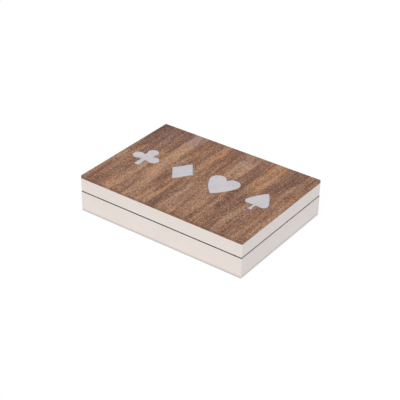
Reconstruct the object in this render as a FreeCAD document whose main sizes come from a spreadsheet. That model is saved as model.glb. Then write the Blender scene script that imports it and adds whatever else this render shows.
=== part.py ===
"""A box for two decks of playing cards, with a hinged lid inlaid with the four suits.

The frame is millimetres, +Z up and +X along the box, with the front at -Y. The origin is the middle
of the underside. Each sub-part takes its sizes from the sheets Sizes and Levels.
"""

import FreeCAD, Part
import math
import os

import Sketcher

V = FreeCAD.Vector

# The sizes that can be set by themselves, in millimetres.
SIZES = {
    # The whole box.
    "box_length": 178.0,
    "box_depth": 127.0,
    "box_height": 36.8,
    "seam_height": 20.6,
    "rim_gap": 0.3,
    "rim_easing": 0.2,
    "base_wall": 9.0,
    "base_corner_radius": 0.6,
    "lid_corner_radius": 1.2,
    # Panels, and the felt under the box, in the wells and in the lid.
    "top_thickness": 2.6,
    "top_edge_radius": 0.4,
    "core_thickness": 2.5,
    "floor_thickness": 3.0,
    "rebate_width": 3.0,
    "panel_play": 0.2,
    "foot_felt_thickness": 0.8,
    "foot_felt_inset": 2.0,
    "well_felt_thickness": 1.0,
    "lining_thickness": 1.0,
    "felt_play": 0.3,
    # The liner that stands above the rim and locates the lid, and the divider of the wells.
    "liner_thickness": 2.0,
    "lip_height": 5.0,
    "lip_clearance": 0.5,
    "divider_thickness": 4.0,
    "divider_drop": 3.2,
    "housing_depth": 1.0,
    "housing_play": 0.1,
    "notch_width": 24.0,
    "notch_depth": 9.0,
    # The butt hinges, whose pin stands just behind the back face.
    "hinge_inset": 39.0,
    "hinge_setback": 0.5,
    "leaf_length": 25.0,
    "leaf_reach": 7.5,
    "leaf_thickness": 1.0,
    "knuckle_radius": 1.5,
    "knuckle_play": 0.2,
    "knuckle_relief": 0.3,
    "pin_radius": 0.75,
    "pin_play": 0.05,
    "screw_spread": 16.0,
    "screw_edge": 3.0,
    "screw_length": 6.0,
    "screw_head_radius": 1.4,
    "screw_head_depth": 0.6,
    "screw_shank_radius": 0.8,
    "screw_slot_width": 0.35,
    "screw_slot_depth": 0.35,
    "screw_play": 0.05,
    # The row of suits let into the top.
    "club_from_end": 26.45,
    "spade_from_end": 24.65,
    "inlay_depth": 1.2,
    "inlay_gap": 0.15,
    # Each suit, measured from the middle of the board and of its place in the row.
    "club_lobe_radius": 5.45,
    "club_top_lobe_height": 9.7,
    "club_side_lobe_offset": 9.0,
    "club_side_lobe_drop": 1.2,
    "club_neck_top": 6.2,
    "club_neck_foot": 2.5,
    "club_underside_drop": 5.4,
    "club_stem_half_width": 2.15,
    "club_foot_half_width": 2.5,
    "club_foot_drop": 16.2,
    "diamond_half_width": 11.5,
    "diamond_waist_drop": 0.5,
    "diamond_top": 15.2,
    "diamond_foot_drop": 16.6,
    "heart_lobe_radius": 7.85,
    "heart_lobe_offset": 7.55,
    "heart_lobe_height": 7.0,
    "heart_side_radius": 50.0,
    "heart_foot_drop": 16.3,
    "spade_tip_height": 14.4,
    "spade_side_radius": 60.0,
    "spade_lobe_radius": 4.3,
    "spade_lobe_offset": 7.1,
    "spade_lobe_drop": 4.9,
    "spade_stem_top_drop": 8.5,
    "spade_stem_half_width": 1.3,
    "spade_stem_radius": 14.0,
    "spade_foot_half_width": 2.2,
    "spade_foot_drop": 16.7,
    # How far a cutting tool runs past the surface that it opens.
    "overcut": 1.0,
}

# Heights and widths that follow from the sizes.
LEVELS = {
    "base_rim": "Sizes.seam_height - Sizes.rim_gap / 2",
    "lid_rim": "Sizes.seam_height + Sizes.rim_gap / 2",
    "top_underside": "Sizes.box_height - Sizes.top_thickness",
    "base_rail_height": "base_rim - Sizes.foot_felt_thickness",
    "lid_rail_height": "top_underside - lid_rim",
    "floor_top": "Sizes.foot_felt_thickness + Sizes.floor_thickness",
    "core_underside": "top_underside - Sizes.core_thickness",
    "lining_underside": "core_underside - Sizes.lining_thickness",
    "lid_wall": "Sizes.base_wall - Sizes.lip_clearance",
    "inner_length": "Sizes.box_length - 2 * Sizes.base_wall",
    "inner_depth": "Sizes.box_depth - 2 * Sizes.base_wall",
    "well_depth": "inner_depth - 2 * Sizes.liner_thickness",
    "well_length": "(inner_length - 2 * Sizes.liner_thickness - Sizes.divider_thickness) / 2",
    "liner_top": "base_rim + Sizes.lip_height",
    "divider_top": "liner_top - Sizes.divider_drop",
    "notch_radius": "(Sizes.notch_width ^ 2 / 4 + Sizes.notch_depth ^ 2) / (2 * Sizes.notch_depth)",
    "pin_setting": "Sizes.box_depth / 2 + Sizes.hinge_setback",
    "leaf_inner": "Sizes.rim_gap / 2",
    "leaf_outer": "leaf_inner + Sizes.leaf_thickness",
    "inlay_floor": "Sizes.box_height - Sizes.inlay_depth",
    # The four suits stand three equal steps apart, between the two that keep to the board's ends.
    "club_place": "Sizes.club_from_end - Sizes.box_length / 2",
    "suit_step": "(Sizes.box_length - Sizes.club_from_end - Sizes.spade_from_end) / 3",
}

SUITS = ("club", "diamond", "heart", "spade")
HINGES = {"left": "-", "right": ""}
KNUCKLES = 5
LID_KNUCKLES = (1, 3)
BASE_KNUCKLES = (0, 2, 4)

# Two places closer than this are one place.
TOUCH = 1e-6

UNTURNED = FreeCAD.Rotation()
UPSIDE_DOWN = FreeCAD.Rotation(V(0, 1, 0), 180)
ALONG_X = FreeCAD.Rotation(V(0, 1, 0), 90)

doc = FreeCAD.newDocument("playing_card_box")


# ---- The sheets -----------------------------------------------------------------------------------


def fill_sheet(name, cells):
    """Writes one named cell a row and returns the sheet."""
    sheet = doc.addObject("Spreadsheet::Sheet", name)
    for row, (alias, content) in enumerate(cells.items(), 1):
        sheet.set(f"A{row}", alias)
        sheet.set(f"B{row}", content)
        sheet.setAlias(f"B{row}", alias)
    return sheet


sizes = fill_sheet("Sizes", {alias: str(size) for alias, size in SIZES.items()})
levels = fill_sheet("Levels", {alias: "=" + formula for alias, formula in LEVELS.items()})
doc.recompute()


def value(expression):
    """The number that an expression of the sheets gives now."""
    return float(sizes.evalExpression(expression))


# ---- Helpers --------------------------------------------------------------------------------------


def bind(piece, **settings):
    """Binds properties to expressions: at_x, at_y and at_z are the place, the others are by name."""
    for name, expression in settings.items():
        if name.startswith("at_"):
            name = "Placement.Base." + name[-1]
        piece.setExpression(name, expression)
    return piece


def block(name, x_size, y_size, z_size, bottom, at_x="0", at_y="0"):
    """A rectangular piece, centred in plan on (at_x, at_y), with its underside at bottom."""
    piece = doc.addObject("Part::Box", name)
    return bind(
        piece,
        Length=x_size,
        Width=y_size,
        Height=z_size,
        at_x=f"{at_x} - ({x_size}) / 2",
        at_y=f"{at_y} - ({y_size}) / 2",
        at_z=bottom,
    )


def cylinder(name, radius, height, turn, at_x, at_y, at_z):
    """A cylinder that starts at its place and runs along +Z, turned by the rotation given."""
    piece = doc.addObject("Part::Cylinder", name)
    piece.Placement.Rotation = turn
    return bind(piece, Radius=radius, Height=height, at_x=at_x, at_y=at_y, at_z=at_z)


def fuse(name, pieces):
    piece = doc.addObject("Part::MultiFuse", name)
    piece.Shapes = pieces
    return piece


def cut(name, base, tools):
    """The base less its tools, which are fused first."""
    piece = doc.addObject("Part::Cut", name)
    piece.Base = base
    piece.Tool = fuse(name + "_tools", tools) if len(tools) > 1 else tools[0]
    return piece


def sketch_on(body, role, name):
    """A sketch on one of the body's own origin planes."""
    sketch = body.newObject("Sketcher::SketchObject", name)
    plane = next(f for f in body.Origin.OriginFeatures if f.Role == role)
    sketch.AttachmentSupport = [(plane, "")]
    sketch.MapMode = "FlatFace"
    return sketch


def constrain(sketch, kind, *place, size=None):
    """Adds a constraint; a size is the expression that the constraint is bound to."""
    if size is None:
        sketch.addConstraint(Sketcher.Constraint(kind, *place))
        return
    index = sketch.addConstraint(Sketcher.Constraint(kind, *place, value(size)))
    sketch.setExpression(f"Constraints[{index}]", size)


def pin_point(sketch, edge, end, x=None, y=None):
    """Holds a point of an edge at x and y from the sketch's origin, or at one of the two."""
    if x is not None:
        constrain(sketch, "DistanceX", -1, 1, edge, end, size=x)
    if y is not None:
        constrain(sketch, "DistanceY", -1, 1, edge, end, size=y)


def line(sketch, start, end):
    return sketch.addGeometry(Part.LineSegment(V(*start, 0), V(*end, 0)))


def arc(sketch, centre, radius, first, last):
    """A counterclockwise arc between two angles in radians."""
    circle = Part.Circle(V(*centre, 0), V(0, 0, 1), radius)
    return sketch.addGeometry(Part.ArcOfCircle(circle, first, last))


def join(sketch, first, second, smooth=False):
    """Ties the nearest ends of two edges together, tangent to each other where it is smooth."""
    ends = [(a, b) for a in (1, 2) for b in (1, 2)]
    a, b = min(
        ends,
        key=lambda e: sketch.getPoint(first, e[0]).distanceToPoint(sketch.getPoint(second, e[1])),
    )
    constrain(sketch, "Tangent" if smooth else "Coincident", first, a, second, b)


def polygon(sketch, corners):
    """A closed outline through corners, each a pair of expressions."""
    points = [(value(x), value(y)) for x, y in corners]
    edges = [line(sketch, point, points[i - len(points) + 1]) for i, point in enumerate(points)]
    for i, edge in enumerate(edges):
        constrain(sketch, "Coincident", edges[i - 1], 2, edge, 1)
        pin_point(sketch, edge, 1, *corners[i])


def edges_where(shape, test):
    """The names of the edges whose two ends both pass the test."""
    return [
        f"Edge{i}"
        for i, edge in enumerate(shape.Edges, 1)
        if all(test(vertex.Point) for vertex in edge.Vertexes)
    ]


def through(body, kind, sketch):
    """A pocket that runs right through the body both ways from its sketch."""
    pocket = body.newObject("PartDesign::Pocket", kind)
    pocket.Profile = sketch
    pocket.Type = "ThroughAll"
    pocket.SideType = "Symmetric"
    return pocket


# ---- The rails ------------------------------------------------------------------------------------


def rail_plan(body, length, wall, corner):
    """The rail from above: mitred ends, and half of each rounded corner of the box."""
    sketch = sketch_on(body, "XY_Plane", body.Name + "_plan")
    half = value(length) / 2
    depth = value(wall)
    radius = value(corner)
    easing = radius * (1 - math.sqrt(0.5))
    outer = line(sketch, (radius - half, 0), (half - radius, 0))
    inner = line(sketch, (half - depth, depth), (depth - half, depth))
    pin_point(sketch, outer, 1, f"{corner} - {length} / 2", "0")
    pin_point(sketch, outer, 2, f"{length} / 2 - {corner}", "0")
    pin_point(sketch, inner, 1, f"{length} / 2 - {wall}", wall)
    pin_point(sketch, inner, 2, f"{wall} - {length} / 2", wall)
    for side, quarter in ((1, -math.pi / 2), (-1, -math.pi * 3 / 4)):
        rounding = arc(sketch, (side * (half - radius), radius), radius, quarter, quarter + math.pi / 4)
        mitre = line(sketch, (side * (half - easing), easing), (side * (half - depth), depth))
        join(sketch, outer, rounding, smooth=True)
        join(sketch, rounding, mitre)
        join(sketch, mitre, inner)
        constrain(sketch, "Radius", rounding, size=corner)
        easing_text = f"{corner} * (1 - sqrt(0.5))"
        sign = "" if side > 0 else "-"
        pin_point(sketch, mitre, 1, x=f"{sign}({length} / 2 - {easing_text})")
    return sketch


def rail(name, length, wall, corner, height, rim, rebate):
    """A rail that lies along X with its outer face at Y 0 and its lower edge at Z 0.

    The rim is the height of the edge that meets the other half of the box, and the rebate is the
    pair of heights between which the inner face is cut back for a panel.
    """
    body = doc.addObject("PartDesign::Body", name)
    pad = body.newObject("PartDesign::Pad", name + "_blank")
    pad.Profile = rail_plan(body, length, wall, corner)
    bind(pad, Length=height)
    section = sketch_on(body, "YZ_Plane", name + "_rebate_section")
    shoulder = f"{wall} - Sizes.rebate_width"
    past = f"{wall} + Sizes.overcut"
    foot, crown = rebate
    polygon(section, [(shoulder, foot), (past, foot), (past, crown), (shoulder, crown)])
    rebated = through(body, name + "_rebate", section)
    doc.recompute()
    rim_level = value(rim)
    outside = value(corner) / 3
    arris = edges_where(rebated.Shape, lambda p: abs(p.z - rim_level) < TOUCH and p.y < outside)
    easing = body.newObject("PartDesign::Chamfer", name + "_rim_easing")
    easing.Base = (rebated, arris)
    bind(easing, Size="Sizes.rim_easing")
    return body


def frame_of_rails(part, wall, corner, bottom, height, rim, rebate):
    """Four mitred rails; the back one is a blank, which its hinges are then cut into."""
    sides = {
        "front": ("Sizes.box_length", 0, "0", "-Sizes.box_depth / 2"),
        "right": ("Sizes.box_depth", 90, "Sizes.box_length / 2", "0"),
        "back": ("Sizes.box_length", 180, "0", "Sizes.box_depth / 2"),
        "left": ("Sizes.box_depth", 270, "-Sizes.box_length / 2", "0"),
    }
    rails = {}
    for side, (length, turn, at_x, at_y) in sides.items():
        name = f"{part}_{side}_rail" + ("_blank" if side == "back" else "")
        piece = rail(name, length, wall, corner, height, rim, rebate)
        piece.Placement.Rotation = FreeCAD.Rotation(V(0, 0, 1), turn)
        rails[side] = bind(piece, at_x=at_x, at_y=at_y, at_z=bottom)
    return rails


base_rails = frame_of_rails(
    "base",
    wall="Sizes.base_wall",
    corner="Sizes.base_corner_radius",
    bottom="Sizes.foot_felt_thickness",
    height="Levels.base_rail_height",
    rim="Levels.base_rail_height",
    rebate=("-Sizes.overcut", "Sizes.floor_thickness"),
)
lid_rails = frame_of_rails(
    "lid",
    wall="Levels.lid_wall",
    corner="Sizes.lid_corner_radius",
    bottom="Levels.lid_rim",
    height="Levels.lid_rail_height",
    rim="0",
    rebate=(
        "Levels.lid_rail_height - Sizes.core_thickness",
        "Levels.lid_rail_height + Sizes.overcut",
    ),
)


# ---- The hinges -----------------------------------------------------------------------------------


def hinge_places():
    """Each hinge's name, the place of its middle along X, and the places of its two screws."""
    for side, sign in HINGES.items():
        middle = f"{sign}(Sizes.box_length / 2 - Sizes.hinge_inset)"
        screws = [f"{middle} {way} Sizes.screw_spread / 2" for way in "-+"]
        yield side, middle, screws


SCREW_LINE = "Levels.pin_setting - Sizes.leaf_reach + Sizes.screw_edge"


def screw(name, part, at_x, play):
    """A countersunk screw that points into the part's rail, grown all round by the play."""
    turn = UNTURNED if part == "lid" else UPSIDE_DOWN
    head = doc.addObject("Part::Cone", name + "_head")
    head.Placement.Rotation = turn
    bind(
        head,
        Radius1=f"Sizes.screw_head_radius + {play}",
        Radius2=f"Sizes.screw_shank_radius + {play}",
        Height="Sizes.screw_head_depth",
        at_x=at_x,
        at_y=SCREW_LINE,
        at_z=f"Levels.{part}_rim",
    )
    shank_radius = f"Sizes.screw_shank_radius + {play}"
    shank_length = f"Sizes.screw_length + {play}"
    shank = cylinder(
        name + "_shank", shank_radius, shank_length, turn, at_x, SCREW_LINE, f"Levels.{part}_rim"
    )
    return fuse(name, [head, shank])


def slotted_screw(name, part, at_x):
    """A screw with a slot across its head."""
    depth = "Sizes.screw_slot_depth"
    past = "Sizes.overcut"
    rim = f"Levels.{part}_rim"
    bottom = f"{rim} - {past}" if part == "lid" else f"{rim} - {depth}"
    slot = block(
        name + "_slot",
        "3 * Sizes.screw_head_radius",
        "Sizes.screw_slot_width",
        f"{depth} + {past}",
        bottom,
        at_x,
        SCREW_LINE,
    )
    return cut(name, screw(name + "_blank", part, at_x, "0"), [slot])


def hinge_screws(part):
    """The part's four screws, as one group of separate solids."""
    group = doc.addObject("Part::Compound", f"hinge_{part}_screws")
    group.Links = [
        slotted_screw(f"{part}_{side}_screw_{i}", part, at_x)
        for side, _, screws in hinge_places()
        for i, at_x in enumerate(screws, 1)
    ]
    return group


def leaf(name, part, at_x, own_knuckles, screws):
    """One leaf: a plate rolled round the pin at one edge, with windows for the other leaf's knuckles.

    It is drawn as the lid's leaf, with the pin's axis at its origin and the plate reaching to -Y.
    """
    body = doc.addObject("PartDesign::Body", name + "_plate")
    section = sketch_on(body, "YZ_Plane", name + "_section")
    radius = value("Sizes.knuckle_radius")
    reach = value("Sizes.leaf_reach")
    low = value("Levels.leaf_inner")
    high = value("Levels.leaf_outer")
    leaves = math.pi - math.asin(low / radius)
    returns = math.pi * 3 - math.asin(high / radius)
    roll = arc(section, (0, 0), radius, leaves, returns)
    under = line(section, (-reach, low), (radius * math.cos(leaves), low))
    edge = line(section, (-reach, high), (-reach, low))
    over = line(section, (radius * math.cos(returns), high), (-reach, high))
    for first, second in ((roll, over), (over, edge), (edge, under), (under, roll)):
        join(section, first, second)
    constrain(section, "Radius", roll, size="Sizes.knuckle_radius")
    pin_point(section, roll, 3, "0", "0")
    pin_point(section, roll, 1, y="Levels.leaf_inner")
    pin_point(section, roll, 2, y="Levels.leaf_outer")
    pin_point(section, edge, 1, "-Sizes.leaf_reach", "Levels.leaf_outer")
    pin_point(section, edge, 2, "-Sizes.leaf_reach", "Levels.leaf_inner")
    bore = section.addGeometry(Part.Circle(V(0, 0, 0), V(0, 0, 1), value("Sizes.pin_radius")))
    constrain(section, "Radius", bore, size="Sizes.pin_radius + Sizes.pin_play")
    pin_point(section, bore, 3, "0", "0")
    pad = body.newObject("PartDesign::Pad", name + "_rolled_strip")
    pad.Profile = section
    pad.SideType = "Symmetric"
    bind(pad, Length="Sizes.leaf_length")
    windows = sketch_on(body, "XY_Plane", name + "_window_plan")
    near = "-(Sizes.knuckle_radius + Sizes.knuckle_relief)"
    far = "Sizes.knuckle_radius + Sizes.overcut"
    for i in set(range(KNUCKLES)) - set(own_knuckles):
        past_start = "Sizes.overcut" if i == 0 else "Sizes.knuckle_play / 2"
        past_end = "Sizes.overcut" if i == KNUCKLES - 1 else "Sizes.knuckle_play / 2"
        start = f"Sizes.leaf_length * ({i} / {KNUCKLES} - 0.5) - {past_start}"
        end = f"Sizes.leaf_length * ({i + 1} / {KNUCKLES} - 0.5) + {past_end}"
        polygon(windows, [(start, near), (end, near), (end, far), (start, far)])
    through(body, name + "_windows", windows)
    body.Placement.Rotation = UNTURNED if part == "lid" else UPSIDE_DOWN
    bind(body, at_x=at_x, at_y="Levels.pin_setting", at_z="Sizes.seam_height")
    holes = [
        screw(f"{name}_screw_hole_{i}", part, place, "Sizes.screw_play")
        for i, place in enumerate(screws, 1)
    ]
    return cut(name, body, holes)


def pin(name, at_x):
    """The pin that runs through all the knuckles of a hinge."""
    start = f"{at_x} - Sizes.leaf_length / 2"
    place = (start, "Levels.pin_setting", "Sizes.seam_height")
    return cylinder(name, "Sizes.pin_radius", "Sizes.leaf_length", ALONG_X, *place)


def hinge_seats(part):
    """What is cut from a part's back rail: mortises, reliefs for the knuckles, and pilot holes."""
    rim = f"Levels.{part}_rim"
    depth = "Sizes.leaf_thickness"
    past = "Sizes.overcut"
    length = "Sizes.leaf_length + 2 * Sizes.knuckle_play"
    reach = "Sizes.leaf_reach + Sizes.knuckle_play"
    tools = []
    for side, middle, screws in hinge_places():
        name = f"{part}_{side}_hinge"
        bottom = f"{rim} - {past}" if part == "lid" else f"{rim} - {depth}"
        mortise_place = (middle, f"Levels.pin_setting - ({reach}) / 2")
        tools.append(
            block(name + "_mortise", length, reach, f"{depth} + {past}", bottom, *mortise_place)
        )
        start = f"{middle} - ({length}) / 2"
        radius = "Sizes.knuckle_radius + Sizes.knuckle_relief"
        place = (start, "Levels.pin_setting", "Sizes.seam_height")
        tools.append(cylinder(name + "_relief", radius, length, ALONG_X, *place))
        for i, at_x in enumerate(screws, 1):
            tools.append(screw(f"{name}_pilot_{i}", part, at_x, "Sizes.screw_play"))
    return tools


# ---- The base -------------------------------------------------------------------------------------


def panel(name, wall, thickness, bottom):
    """A thin panel that fills the rebates of four rails."""
    overall = f"2 * ({wall} - Sizes.rebate_width + Sizes.panel_play)"
    return block(
        name, f"Sizes.box_length - {overall}", f"Sizes.box_depth - {overall}", thickness, bottom
    )


def liners():
    """Four strips against the rails; the long ones are housed for the divider's ends."""
    height = "Levels.liner_top - Levels.floor_top"
    thickness = "Sizes.liner_thickness"
    setting = "(Levels.inner_depth - Sizes.liner_thickness) / 2"
    pieces = []
    for side, sign in (("front", "-"), ("back", "")):
        strip = block(
            f"liner_{side}_blank",
            "Levels.inner_length",
            thickness,
            height,
            "Levels.floor_top",
            at_y=f"{sign}{setting}",
        )
        housing = block(
            f"liner_{side}_housing",
            "Sizes.divider_thickness + 2 * Sizes.housing_play",
            "2 * Sizes.housing_depth",
            height,
            "Levels.floor_top",
            at_y=f"{sign}Levels.well_depth / 2",
        )
        pieces.append(cut(f"liner_{side}", strip, [housing]))
    for side, sign in (("left", "-"), ("right", "")):
        pieces.append(
            block(
                f"liner_{side}",
                thickness,
                "Levels.well_depth",
                height,
                "Levels.floor_top",
                at_x=f"{sign}(Levels.inner_length - Sizes.liner_thickness) / 2",
            )
        )
    return pieces


def divider():
    """The wall between the two wells, with a round notch for the fingers."""
    board = block(
        "card_divider_blank",
        "Sizes.divider_thickness",
        "Levels.well_depth + 2 * (Sizes.housing_depth - Sizes.housing_play)",
        "Levels.divider_top - Levels.floor_top",
        "Levels.floor_top",
    )
    length = "Sizes.divider_thickness + 2 * Sizes.overcut"
    centre = "Levels.divider_top + Levels.notch_radius - Sizes.notch_depth"
    notch = cylinder(
        "finger_notch", "Levels.notch_radius", length, ALONG_X, f"-({length}) / 2", "0", centre
    )
    return cut("card_divider", board, [notch])


def well_felt(side, sign):
    """The felt on the floor of one well."""
    return block(
        f"well_felt_{side}",
        "Levels.well_length - 2 * Sizes.felt_play",
        "Levels.well_depth - 2 * Sizes.felt_play",
        "Sizes.well_felt_thickness",
        "Levels.floor_top",
        at_x=f"{sign}(Levels.well_length + Sizes.divider_thickness) / 2",
    )


base_pieces = [
    base_rails["front"],
    base_rails["left"],
    base_rails["right"],
    cut("base_back_rail", base_rails["back"], hinge_seats("base")),
    panel("floor_panel", "Sizes.base_wall", "Sizes.floor_thickness", "Sizes.foot_felt_thickness"),
    block(
        "underside_felt",
        "Sizes.box_length - 2 * Sizes.foot_felt_inset",
        "Sizes.box_depth - 2 * Sizes.foot_felt_inset",
        "Sizes.foot_felt_thickness",
        "0",
    ),
    *liners(),
    divider(),
    well_felt("left", "-"),
    well_felt("right", ""),
    hinge_screws("base"),
]


# ---- The lid --------------------------------------------------------------------------------------


def top_board_blank():
    """The board over the whole lid, with rounded corners and a softened upper edge."""
    body = doc.addObject("PartDesign::Body", "lid_top_board_blank")
    plan = sketch_on(body, "XY_Plane", "top_board_plan")
    half_length = "Sizes.box_length / 2"
    half_depth = "Sizes.box_depth / 2"
    signs = (("-", "-"), ("", "-"), ("", ""), ("-", ""))
    polygon(plan, [(f"{a}{half_length}", f"{b}{half_depth}") for a, b in signs])
    pad = body.newObject("PartDesign::Pad", "top_board_pad")
    pad.Profile = plan
    bind(pad, Length="Sizes.top_thickness")
    doc.recompute()
    corners = body.newObject("PartDesign::Fillet", "top_board_corners")
    upright = [
        f"Edge{i}"
        for i, edge in enumerate(pad.Shape.Edges, 1)
        if abs(edge.Vertexes[0].Z - edge.Vertexes[1].Z) > TOUCH
    ]
    corners.Base = (pad, upright)
    bind(corners, Radius="Sizes.lid_corner_radius")
    doc.recompute()
    rounding = body.newObject("PartDesign::Fillet", "top_board_edge")
    top = value("Sizes.top_thickness")
    rounding.Base = (corners, edges_where(corners.Shape, lambda p: abs(p.z - top) < TOUCH))
    bind(rounding, Radius="Sizes.top_edge_radius")
    return bind(body, at_z="Levels.top_underside")


def stem(sketch, neck, suit, flare=None):
    """Closes a club or spade below the two neck edges, which end at the top of its stem."""
    half_top = f"Sizes.{suit}_stem_half_width"
    half_foot = f"Sizes.{suit}_foot_half_width"
    foot = f"-Sizes.{suit}_foot_drop"
    base = line(sketch, (-value(half_foot), value(foot)), (value(half_foot), value(foot)))
    for side, edge in zip((1, -1), neck):
        top = sketch.getPoint(edge, 2)
        toe = V(side * value(half_foot), value(foot), 0)
        if flare:
            radius = value(flare)
            chord = toe - top
            middle = (top + toe) / 2
            outward = V(-chord.y, chord.x, 0).normalize() * side
            centre = middle + outward * math.sqrt(radius**2 - (chord.Length / 2) ** 2)
            angles = sorted(
                math.atan2(p.y - centre.y, p.x - centre.x) % (2 * math.pi) for p in (top, toe)
            )
            if angles[1] - angles[0] > math.pi:
                angles = [angles[1], angles[0] + 2 * math.pi]
            flank = arc(sketch, (centre.x, centre.y), radius, *angles)
            constrain(sketch, "Radius", flank, size=flare)
        else:
            flank = line(sketch, (top.x, top.y), (toe.x, toe.y))
        join(sketch, edge, flank)
        join(sketch, flank, base)
    pin_point(sketch, base, 1, f"-{half_foot}", foot)
    pin_point(sketch, base, 2, half_foot, foot)


def club(sketch):
    """Three round lobes on a stem."""
    radius = value("Sizes.club_lobe_radius")
    crown_height = value("Sizes.club_top_lobe_height")
    neck_top = value("Sizes.club_neck_top")
    top_angle = math.asin((neck_top - crown_height) / radius)
    crown = arc(sketch, (0, crown_height), radius, top_angle, math.pi - top_angle)
    constrain(sketch, "Radius", crown, size="Sizes.club_lobe_radius")
    pin_point(sketch, crown, 3, "0", "Sizes.club_top_lobe_height")
    pin_point(sketch, crown, 1, y="Sizes.club_neck_top")
    pin_point(sketch, crown, 2, y="Sizes.club_neck_top")
    offset = value("Sizes.club_side_lobe_offset")
    drop = value("Sizes.club_side_lobe_drop")
    neck_foot = value("Sizes.club_neck_foot")
    underside = value("Sizes.club_underside_drop")
    half_stem = value("Sizes.club_stem_half_width")
    opens = math.pi - math.asin((neck_foot + drop) / radius)
    closes = math.asin((underside - drop) / radius) - math.pi
    necks = []
    for side in (1, -1):
        angles = (closes, opens) if side > 0 else (math.pi - opens, math.pi - closes)
        lobe = arc(sketch, (side * offset, -drop), radius, *angles)
        lobe_in = (side * (offset + radius * math.cos(opens)), neck_foot)
        lobe_out = (side * (offset + radius * math.cos(closes)), -underside)
        crown_end = (side * radius * math.cos(top_angle), neck_top)
        neck = line(sketch, crown_end, lobe_in)
        shoulder = line(sketch, lobe_out, (side * half_stem, -underside))
        join(sketch, crown, neck)
        join(sketch, neck, lobe)
        join(sketch, lobe, shoulder)
        sign = "" if side > 0 else "-"
        constrain(sketch, "Radius", lobe, size="Sizes.club_lobe_radius")
        pin_point(sketch, lobe, 3, f"{sign}Sizes.club_side_lobe_offset", "-Sizes.club_side_lobe_drop")
        pin_point(sketch, neck, 2, y="Sizes.club_neck_foot")
        pin_point(sketch, shoulder, 1, y="-Sizes.club_underside_drop")
        pin_point(
            sketch, shoulder, 2, f"{sign}Sizes.club_stem_half_width", "-Sizes.club_underside_drop"
        )
        necks.append(shoulder)
    stem(sketch, necks, "club")


def diamond(sketch):
    """Four straight sides."""
    polygon(
        sketch,
        [
            ("0", "Sizes.diamond_top"),
            ("-Sizes.diamond_half_width", "-Sizes.diamond_waist_drop"),
            ("0", "-Sizes.diamond_foot_drop"),
            ("Sizes.diamond_half_width", "-Sizes.diamond_waist_drop"),
        ],
    )


def side_arc(lobe_centre, lobe_radius, tip, side_radius):
    """The long arc from a tip on the Y axis that ends tangent to a lobe on the +X side.

    It returns the arc's centre and the point where it meets the lobe.
    """
    away = math.dist(lobe_centre, tip)
    to_lobe = side_radius - lobe_radius
    along = (side_radius**2 - to_lobe**2 + away**2) / (2 * away)
    across = math.sqrt(side_radius**2 - along**2)
    unit = ((lobe_centre[0] - tip[0]) / away, (lobe_centre[1] - tip[1]) / away)
    turn = 1 if tip[1] > lobe_centre[1] else -1
    centre = (
        tip[0] + along * unit[0] + turn * across * unit[1],
        tip[1] + along * unit[1] - turn * across * unit[0],
    )
    reach = lobe_radius / to_lobe
    meets = tuple(c + (c - s) * reach for c, s in zip(lobe_centre, centre))
    return centre, meets


def angle(centre, point):
    """The direction of a point from a centre, in radians."""
    return math.atan2(point[1] - centre[1], point[0] - centre[0])


def heart(sketch):
    """Two round lobes and two long sides that run from them to the point."""
    radius = value("Sizes.heart_lobe_radius")
    offset = value("Sizes.heart_lobe_offset")
    height = value("Sizes.heart_lobe_height")
    side_radius = value("Sizes.heart_side_radius")
    tip = (0, -value("Sizes.heart_foot_drop"))
    centre, meets = side_arc((offset, height), radius, tip, side_radius)
    cleft = math.acos(-offset / radius)
    lobes = []
    flanks = []
    for side in (1, -1):
        lobe_angles = (angle((offset, height), meets), cleft)
        flank_angles = (angle(centre, tip), angle(centre, meets))
        if side < 0:
            lobe_angles = (math.pi - lobe_angles[1], math.pi - lobe_angles[0])
            flank_angles = (math.pi - flank_angles[1], math.pi - flank_angles[0])
        lobes.append(arc(sketch, (side * offset, height), radius, *lobe_angles))
        flanks.append(arc(sketch, (side * centre[0], centre[1]), side_radius, *flank_angles))
        sign = "" if side > 0 else "-"
        join(sketch, lobes[-1], flanks[-1], smooth=True)
        constrain(sketch, "Radius", lobes[-1], size="Sizes.heart_lobe_radius")
        constrain(sketch, "Radius", flanks[-1], size="Sizes.heart_side_radius")
        pin_point(
            sketch, lobes[-1], 3, f"{sign}Sizes.heart_lobe_offset", "Sizes.heart_lobe_height"
        )
    join(sketch, *lobes)
    join(sketch, *flanks)
    pin_point(sketch, flanks[0], 1, "0", "-Sizes.heart_foot_drop")


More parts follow.
